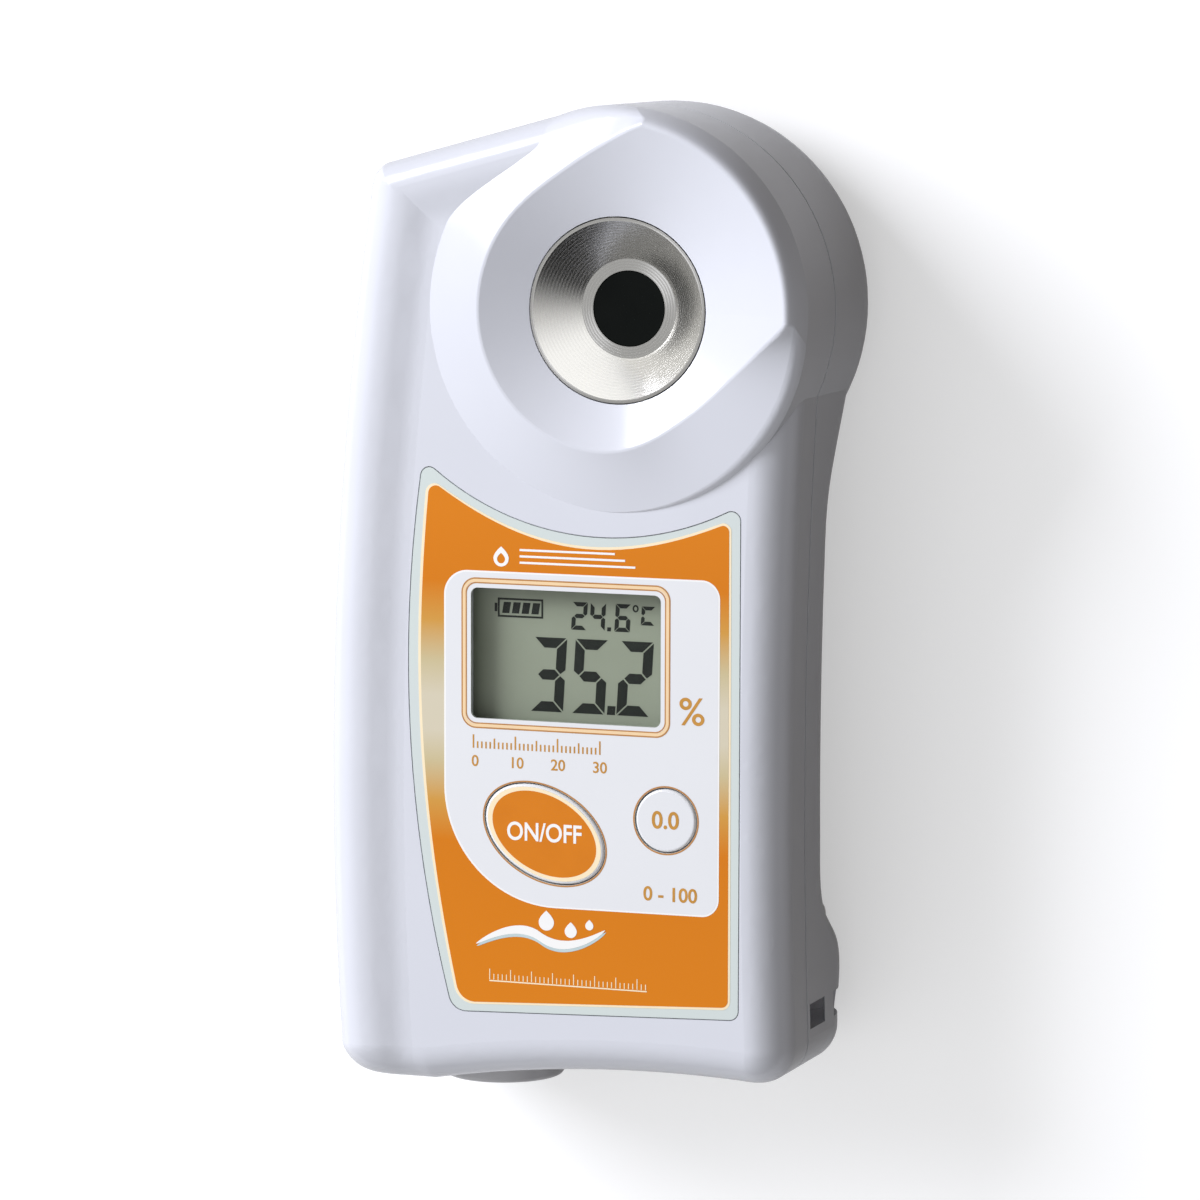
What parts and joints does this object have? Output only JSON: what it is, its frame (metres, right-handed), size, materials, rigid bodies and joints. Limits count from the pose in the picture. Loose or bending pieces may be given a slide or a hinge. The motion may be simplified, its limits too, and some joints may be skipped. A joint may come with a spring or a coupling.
{
  "type": "digital refractometer",
  "caption": "Pocket digital refractometer: dished steel sample stage with a prism, display, membrane keys, and a coin-locked battery cover.",
  "frame": {"origin": "on the surface that the instrument lies on, under the centre of the sample stage", "axes": "+Z out of the display face, along the stage axis; +Y from the keys towards the stage end; +X to the right of the face"},
  "size_m": [0.0575, 0.1109, 0.0312],
  "materials": {
    "case_plastic": "moulded, satin gloss",
    "grey_rubber": "smooth",
    "screw_steel": "plated",
    "film": "printed film, light gloss",
    "clear_plastic": "clear, polished",
    "key_film": "printed film, embossed",
    "black_plastic": "moulded, matt",
    "display": "reflective display glass",
    "circuit_board": "solder resist",
    "stage_steel": "fine turned",
    "prism_glass": "polished, dark from the well below",
    "lamp": "clear tinted",
    "clear_glass": "polished",
    "ribbon_film": "flexible film",
    "spring_steel": "nickel plated",
    "cell_jacket": "printed jacket",
    "lock_plastic": "moulded, matt"
  },
  "bodies": {
    "case": {"front_case": "case_plastic", "rear_case": "case_plastic", "case_gasket": "grey_rubber", "case_screws": "screw_steel", "overlay_panel": "film", "display_window": "clear_plastic", "start_switch": "black_plastic", "zero_switch": "black_plastic", "lcd_glass": "display", "lcd_holder": "black_plastic", "contact_strips": "grey_rubber", "main_board": "circuit_board", "board_chips": "black_plastic", "board_screws": "screw_steel", "sample_stage": "stage_steel", "stage_seal": "grey_rubber", "prism": "prism_glass", "optical_block": "black_plastic", "block_screws": "screw_steel", "light_board": "circuit_board", "sensor_board": "circuit_board", "light_source": "lamp", "line_sensor": "black_plastic", "source_lens": "clear_glass", "imaging_lens": "clear_glass", "temperature_sensor": "black_plastic", "sensor_ribbon": "ribbon_film", "battery_sleeve": "black_plastic", "sleeve_gasket": "grey_rubber", "terminal_springs": "spring_steel"},
    "start_button": {"start_key": "key_film"},
    "zero_button": {"zero_key": "key_film"},
    "cover": {"battery_cover": "case_plastic", "cover_seal": "grey_rubber", "cover_contact": "spring_steel"},
    "lock": {"battery_lock": "lock_plastic"},
    "left_battery": {"cell_left": "cell_jacket"},
    "right_battery": {"cell_right": "cell_jacket"}
  },
  "joints": [
    {"name": "start_press", "type": "slide", "parent": "case", "child": "start_button", "axis": [0, 0, -1], "range_m": [0, 0.00035], "stiffness_N_per_m": 1200, "springref_m": -0.0005},
    {"name": "zero_press", "type": "slide", "parent": "case", "child": "zero_button", "axis": [0, 0, -1], "range_m": [0, 0.00035], "stiffness_N_per_m": 1200, "springref_m": -0.0005},
    {"name": "cover_release", "type": "slide", "parent": "case", "child": "cover", "axis": [0, -1, 0], "range_m": [0, 0.06]},
    {"name": "lock_turn", "type": "hinge", "parent": "cover", "child": "lock", "pos_m": [-0.0187, -0.0885, 0.0126], "axis": [0, -1, 0], "range_deg": [0, 720]},
    {"name": "left_cell_out", "type": "slide", "parent": "case", "child": "left_battery", "axis": [0, -1, 0], "range_m": [0, 0.05]},
    {"name": "right_cell_out", "type": "slide", "parent": "case", "child": "right_battery", "axis": [0, -1, 0], "range_m": [0, 0.05]}
  ],
  "couplings": [
    {"joint": "left_cell_out", "follows": "cover_release", "ratio": 0.8},
    {"joint": "right_cell_out", "follows": "cover_release", "ratio": 0.8}
  ]
}
